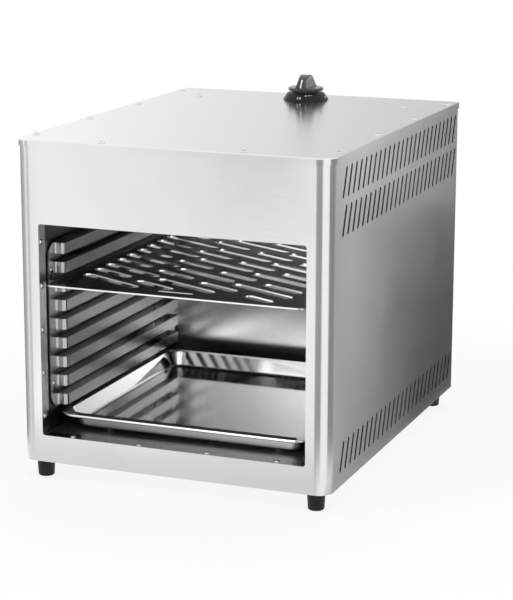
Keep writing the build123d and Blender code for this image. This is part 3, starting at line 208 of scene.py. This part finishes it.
linerSteel = dict(colour=(0.14, 0.14, 0.138), grain=(30, 30, 700), roughness=0.3, bump=0.04, stain=0.08)
dress(brushedSteel("linerFinish", **linerSteel), "liner_left", "liner_right", "burner_guard")

# its lines are upright, so the blur runs sideways
backSteel = dict(colour=(0.92, 0.92, 0.91), grain=(500, 500, 12), roughness=0.24, anisotropy=0.9, turn=0.0,
                 bump=0.01, stain=0.06)
dress(brushedSteel("backFinish", **backSteel), "liner_back")

floorSteel = dict(colour=(0.86, 0.86, 0.85), grain=(14, 900, 900), roughness=0.3, bump=0.03)
dress(brushedSteel("floorFinish", **floorSteel), "liner_floor")

traySteel = dict(colour=(0.84, 0.84, 0.84), grain=(60, 60, 60), roughness=0.07, bump=0.01, stain=0.02,
                 shade=dict(tilt=(-0.2, -0.02), share=(0.32, 1.0)))  # painted shade: darker on the faces that point down
dress(brushedSteel("trayFinish", **traySteel), "drip_tray")

grateSteel = dict(colour=(0.34, 0.34, 0.34), grain=(10, 900, 900), roughness=0.2, bump=0.02,
                  shade=dict(tilt=(0.4, 0.95), share=(2.3, 1.0)))  # painted highlight: brighter on the edges and slot walls, which face less upward
dress(brushedSteel("grateFinish", **grateSteel), "grate")

platedSteel = dict(colour=(0.6, 0.6, 0.6), grain=(40, 40, 400), roughness=0.38, bump=0.1, stain=0.12)
dress(brushedSteel("platedSteel", **platedSteel), "liner_supports", "partition", "crossbar", "valve_bracket",
      "jet_bracket", "inlet_plate", "neck_nut", "foot_studs", "foot_nuts", "thrust_collar", "spindle",
      "thermocouple", "return_spring")

burnerSteel = dict(colour=(0.48, 0.46, 0.43), grain=(60, 60, 60), roughness=0.5, bump=0.15, stain=0.2)
dress(brushedSteel("burnerSteel", **burnerSteel), "burner_box", "plaque_clamp", "venturi_tube")

screwSteel = dict(colour=(0.75, 0.75, 0.75), roughness=0.16)
dress(turned("screwSteel", **screwSteel), "lid_screws", "opening_screws", "rack_screws", "rear_screws",
      "base_screws")

gasBrass = dict(colour=(0.72, 0.53, 0.24), roughness=0.28)
dress(turned("brassFinish", **gasBrass), "valve_body", "valve_plug", "valve_bottom_cap", "gland_cap",
      "gas_jet", "jet_holder", "pipe_nuts", "inlet_socket")

gasPipe = dict(colour=(0.75, 0.75, 0.77), roughness=0.3)
dress(turned("pipeFinish", **gasPipe), "burner_pipe", "inlet_pipe")

knobPlastic = dict(colour=(0.012, 0.012, 0.012), roughness=0.26, grainScale=900.0, grainDepth=0.00003,
                   coat=0.35)
dress(cast("knobPlastic", **knobPlastic), "knob")

bezelPlastic = dict(colour=(0.008, 0.008, 0.008), roughness=0.4, grainScale=900.0, grainDepth=0.00003,
                    specular=0.2)
dress(cast("bezelPlastic", **bezelPlastic), "knob_bezel", "piezo_block")

footRubber = dict(colour=(0.008, 0.008, 0.008), roughness=0.5, grainScale=1500.0, grainDepth=0.00008,
                  specular=0.25)
dress(cast("footRubber", **footRubber), "foot_front_left", "foot_front_right", "foot_rear_left",
      "foot_rear_right")

plaqueCeramic = dict(colour=(0.80, 0.74, 0.64), roughness=0.85, grainScale=2500.0, grainDepth=0.0002)
dress(cast("plaqueCeramic", **plaqueCeramic), "burner_plaques", "spark_electrode")

gasketFibre = dict(colour=(0.78, 0.76, 0.72), roughness=0.95, grainScale=3000.0, grainDepth=0.0003)
dress(cast("fibre", **gasketFibre), "plaque_gasket")

leadSleeve = dict(colour=(0.72, 0.71, 0.68), roughness=0.55, grainScale=900.0, grainDepth=0.00004)
dress(cast("leadSleeve", **leadSleeve), "igniter_lead")

markPaint = dict(colour=(0.85, 0.85, 0.85), roughness=0.4, grainScale=900.0, grainDepth=0.00002)
markFinish = cast("markPaint", **markPaint)
dress(markFinish, "pointer_line")
print("stage: finishes on", len(nodes), "nodes")


# marks on the bezel's slope, in metres and degrees: angle 0 is the front, share is the height up the slope
dial = dict(centre=(0.0, 0.1815), low=(0.0269, 0.3762), top=(0.0224, 0.3832), lift=0.00002, thick=0.00012,
            ring=(0.0011, 0.0016, 0.0005), ringSides=20, bar=(0.0007, 0.0032), share=0.45, aside=0.0016,
            arrow=((-0.0011, -0.0008), (0.0011, -0.0008), (0.0002, 0.0008)), arrowAngle=19, arrowShare=0.86,
            dots=3, dot=0.0009, dotAngle=27, dotPitch=5, dotClimb=0.03, weld=0.00001)


def onBezel(angle, share):
    (lowRadius, lowHeight), (topRadius, topHeight) = dial["low"], dial["top"]
    low, top = Vector((lowRadius, 0, lowHeight)), Vector((topRadius, 0, topHeight))
    upslope = (top - low).normalized()
    outward = Vector((upslope.z, 0, -upslope.x))
    place = low.lerp(top, share) + outward * dial["lift"]
    basis = Matrix((Vector((0, 1, 0)), upslope, outward)).transposed().to_4x4()
    swing = Matrix.Rotation(radians(angle - 90), 4, "Z")
    return Matrix.Translation((*dial["centre"], 0)) @ swing @ Matrix.Translation(place) @ basis


def flatMark(bm, points, matrix):
    bm.faces.new([bm.verts.new(matrix @ Vector((*point, 0))) for point in points])


def barMark(bm, angle, share, width, tall, aside=0.0):
    x, y = width / 2, tall / 2
    flatMark(bm, [(aside - x, -y), (aside + x, -y), (aside + x, y), (aside - x, y)], onBezel(angle, share))


def ringMark(bm, angle, share, wide, tall, line, aside=0.0):
    turns = [2 * pi * step / dial["ringSides"] for step in range(dial["ringSides"] + 1)]
    outer = [(aside + wide * cos(turn), tall * sin(turn)) for turn in turns]
    inner = [(aside + (wide - line) * cos(turn), (tall - line) * sin(turn)) for turn in turns]
    for side in range(dial["ringSides"]):
        flatMark(bm, [outer[side], outer[side + 1], inner[side + 1], inner[side]], onBezel(angle, share))


marks = bmesh.new()
ringMark(marks, 0, dial["share"], *dial["ring"], aside=dial["aside"])
barMark(marks, 0, dial["share"], *dial["bar"], aside=-dial["aside"])
ringMark(marks, 90, dial["share"], *dial["ring"])
barMark(marks, 180, dial["share"], *dial["bar"])
flatMark(marks, dial["arrow"], onBezel(dial["arrowAngle"], dial["arrowShare"]))
for step in range(dial["dots"]):
    barMark(marks, dial["dotAngle"] + dial["dotPitch"] * step, dial["arrowShare"] + dial["dotClimb"] * step,
            dial["dot"], dial["dot"])
bmesh.ops.remove_doubles(marks, verts=marks.verts, dist=dial["weld"])
bmesh.ops.solidify(marks, geom=marks.faces[:], thickness=-dial["thick"])
bmesh.ops.recalc_face_normals(marks, faces=marks.faces)
markMesh = bpy.data.meshes.new("bezelMarks")
marks.to_mesh(markMesh)
marks.free()
markMesh.materials.append(markFinish)
bezelMarks = bpy.data.objects.new("bezelMarks", markMesh)
scene.collection.objects.link(bezelMarks)
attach(bezelMarks, "casing")
print("stage: bezel marks")


def flatCard(name, corners, material):
    bm = bmesh.new()
    bm.faces.new([bm.verts.new(corner) for corner in corners])
    mesh = bpy.data.meshes.new(name)
    bm.to_mesh(mesh)
    bm.free()
    mesh.materials.append(material)
    card = bpy.data.objects.new(name, mesh)
    scene.collection.objects.link(card)
    return card


def levelCard(name, x, y, z, material):
    return flatCard(name, [(x[0], y[0], z), (x[1], y[0], z), (x[1], y[1], z), (x[0], y[1], z)], material)


glossWhite = 1.25  # brightness of the white room in the steel


# 1 for what the camera sees, straight or in metal, and 0 for the light on the object
def seenOrMirrored(tree):
    rays = tree.nodes.new("ShaderNodeLightPath")
    mirrored = mathNode(tree, "ADD", rays.outputs["Is Glossy Ray"], rays.outputs["Is Transmission Ray"])
    return mathNode(tree, "ADD", rays.outputs["Is Camera Ray"], mirrored, clamp=True)


def whiteStrength(tree):  # plain white to the camera, and a little brighter in the metal
    rays = tree.nodes.new("ShaderNodeLightPath")
    extra = mathNode(tree, "MULTIPLY", rays.outputs["Is Glossy Ray"], glossWhite - 1)
    return mathNode(tree, "ADD", extra, 1.0)


# pale floor that fades to plain white away from the object, and keeps the object's shadow
floorShape = dict(x=(-12.0, 12.0), y=(-12.0, 12.0), z=0)
floorPaint = dict(pale=0.85, dull=0.7, specular=0.1, white=(0.84, 1.0), reach=(0.3, 0.8))


def floorMaterial(pale, dull, specular, white, reach):
    material, tree, shader = newMaterial("paleFloor")
    shader.inputs["Base Color"].default_value = (pale, pale, pale, 1)
    shader.inputs["Roughness"].default_value = dull
    shader.inputs["Specular IOR Level"].default_value = specular
    glow = tree.nodes.new("ShaderNodeEmission")
    wire(tree, whiteStrength(tree), glow.inputs["Strength"])
    distance = tree.nodes.new("ShaderNodeVectorMath")
    distance.operation = "LENGTH"
    wire(tree, objectPoints(tree), distance.inputs[0])
    fade = spread(tree, distance.outputs["Value"], *white, *reach)
    mix = tree.nodes.new("ShaderNodeMixShader")
    wire(tree, mathNode(tree, "MULTIPLY", fade, seenOrMirrored(tree)), mix.inputs["Fac"])
    wire(tree, shader.outputs["BSDF"], mix.inputs[1])
    wire(tree, glow.outputs["Emission"], mix.inputs[2])
    wire(tree, mix.outputs["Shader"], tree.nodes["Material Output"].inputs["Surface"])
    return material


levelCard("floor", **floorShape, material=floorMaterial(**floorPaint))

# soft lamps for shade and shadow, which the steel doesn't mirror
lamps = {
    "keyLamp": dict(place=(-1.2, -1.8, 2.2), size=1.6, power=30),
    "fillLamp": dict(place=(2.0, -0.9, 1.4), size=1.4, power=12),
    "topLamp": dict(place=(0.2, 0.4, 2.6), size=1.8, power=16),
}
lampAim = (0, 0, 0.2)


def softLamp(name, place, size, power):
    light = bpy.data.lights.new(name, "AREA")
    light.shape = "RECTANGLE"
    light.size = light.size_y = size
    light.energy = power
    lamp = bpy.data.objects.new(name, light)
    scene.collection.objects.link(lamp)
    lamp.location = place
    lamp.visible_glossy = False
    lamp.rotation_euler = (Vector(lampAim) - Vector(place)).to_track_quat("-Z", "Y").to_euler()


for lampName, lamp in lamps.items():
    softLamp(lampName, **lamp)
print("stage: floor and", len(lamps), "lamps")


def cardMaterial(name, way, near, far, brightness, curve=1.0):  # a glow that changes steadily along a way
    material = bpy.data.materials.new(name)
    material.use_nodes = True
    tree = material.node_tree
    tree.nodes.clear()
    along = tree.nodes.new("ShaderNodeVectorMath")
    along.operation = "DOT_PRODUCT"
    along.inputs[1].default_value = way
    wire(tree, objectPoints(tree), along.inputs[0])
    glow = tree.nodes.new("ShaderNodeEmission")
    share = mathNode(tree, "POWER", spread(tree, along.outputs["Value"], 0.0, 1.0, near, far), curve)
    wire(tree, spread(tree, share, *brightness, 0.0, 1.0), glow.inputs["Strength"])
    output = tree.nodes.new("ShaderNodeOutputMaterial")
    wire(tree, glow.outputs["Emission"], output.inputs["Surface"])
    return material


def glossOnly(card):
    card.visible_camera = False
    card.visible_diffuse = False
    card.visible_shadow = False
    card.visible_transmission = False


# upright cards that only reflections see: start and end on the floor, lowest, highest, brightness at
# both ends, and a curve from one to the other
cards = {
    "sideRearCard": ((0.36, 0.90), (0.66, 0.90), 0.0, 0.12, (0.083, 1.20), 2.0),
    "sideRearUpperCard": ((0.36, 0.90), (0.66, 0.90), 0.12, 0.7, (0.30, 0.95)),
    "sideRearEndCard": ((0.30, 0.90), (0.36, 0.90), 0.0, 0.7, (0.05, 0.05)),
    "cornerCard": ((0.123, -0.411), (0.256, -0.393), 0.0, 0.38, (0.42, 0.42)),
    "cornerEndCard": ((0.362, -0.25), (0.318, -0.086), 0.0, 0.38, (0.33, 0.33)),
    "cornerSideCard": ((0.318, -0.086), (0.243, -0.031), 0.0, 0.38, (0.35, 0.62)),
    "leftEdgeCard": ((-0.342, -0.309), (-0.24, -0.03), 0.0, 0.36, (0.8, 0.05)),
    "leftFoldCard": ((-0.323, -0.338), (-0.256, -0.393), 0.0, 0.36, (0.8, 0.8)),
    "frontEdgeCard": ((-0.21, -1.29), (-0.05, -1.29), 0.0, 0.5, (1.5, 1.5)),
    "frontCard": ((-0.80, -1.30), (-0.20, -1.30), 0.0, 0.9, (1.29, 0.74), 1.4),
    "backCard": ((-1.6, 2.0), (0.2, 2.0), 0.5, 1.6, (1.26, 0.46)),
    "mouthCard": ((-0.137, -0.2298), (0.137, -0.2298), 0.055, 0.20, (0.92, 2.4)),
    "rimCard": ((-0.13, -0.195), (0.13, -0.195), 0.0715, 0.088, (0.03, 0.03)),
}


def reflectedCard(name, start, end, low, high, brightness, curve=1.0):
    way = (Vector(end) - Vector(start)).normalized()
    near, far = way.dot(Vector(start)), way.dot(Vector(end))
    corners = [(*start, low), (*end, low), (*end, high), (*start, high)]
    glossOnly(flatCard(name, corners, cardMaterial(name + "Paint", (*way, 0), near, far, brightness, curve)))


for cardName, card in cards.items():
    reflectedCard(cardName, *card)

# mats on the floor that only reflections see, beside, before and under the mouth of the cavity
matHeight = 0.002
mats = {
    "sideMat": dict(x=(0.19, 0.80), y=(-0.25, 0.89), way=(-3.15, 1, 0), near=-1.0, far=-0.474,
                    brightness=(1.05, 0.09), curve=0.5),
    "frontMat": dict(x=(-0.60, 0.165), y=(-0.41, -0.235), way=(1, 0, 0), near=-0.4, far=0.15,
                     brightness=(1.0, 0.85)),
    "cavityMat": dict(x=(-0.38, -0.09), y=(-0.95, -0.42), way=(1, 0, 0), near=-0.38, far=-0.09,
                      brightness=(1.5, 1.75)),
}


def reflectedMat(name, x, y, **paint):
    glossOnly(levelCard(name, x, y, matHeight, cardMaterial(name + "Paint", **paint)))


for matName, mat in mats.items():
    reflectedMat(matName, **mat)
print("stage:", len(cards), "cards and", len(mats), "mats for the reflections")

# white room for the camera and the metal, grey light on everything else
room = dict(grey=(0.5, 0.5, 0.5, 1), white=(1, 1, 1, 1))
world = bpy.data.worlds.new("studio")
scene.world = world
world.use_nodes = True
air = world.node_tree
background = air.nodes["Background"]
airMix = air.nodes.new("ShaderNodeMix")
airMix.data_type = "RGBA"
wire(air, seenOrMirrored(air), airMix.inputs["Factor"])
airMix.inputs[6].default_value = room["grey"]  # 6, 7 and 2 are its colour sockets
airMix.inputs[7].default_value = room["white"]
wire(air, airMix.outputs[2], background.inputs["Color"])
wire(air, whiteStrength(air), background.inputs["Strength"])

# the photo's angle
cameraShot = dict(place=(0.83736, -2.11688, 0.70141), turn=(76.7472, -0.1149, 21.4299), lens=121.763,
                  sensor=36)
cameraData = bpy.data.cameras.new("camera")
cameraData.lens = cameraShot["lens"]
cameraData.sensor_width = cameraShot["sensor"]
camera = bpy.data.objects.new("camera", cameraData)
scene.collection.objects.link(camera)
camera.location = cameraShot["place"]
camera.rotation_euler = [radians(angle) for angle in cameraShot["turn"]]
scene.camera = camera
scene.view_settings.view_transform = "Standard"
print("stage: room and camera")
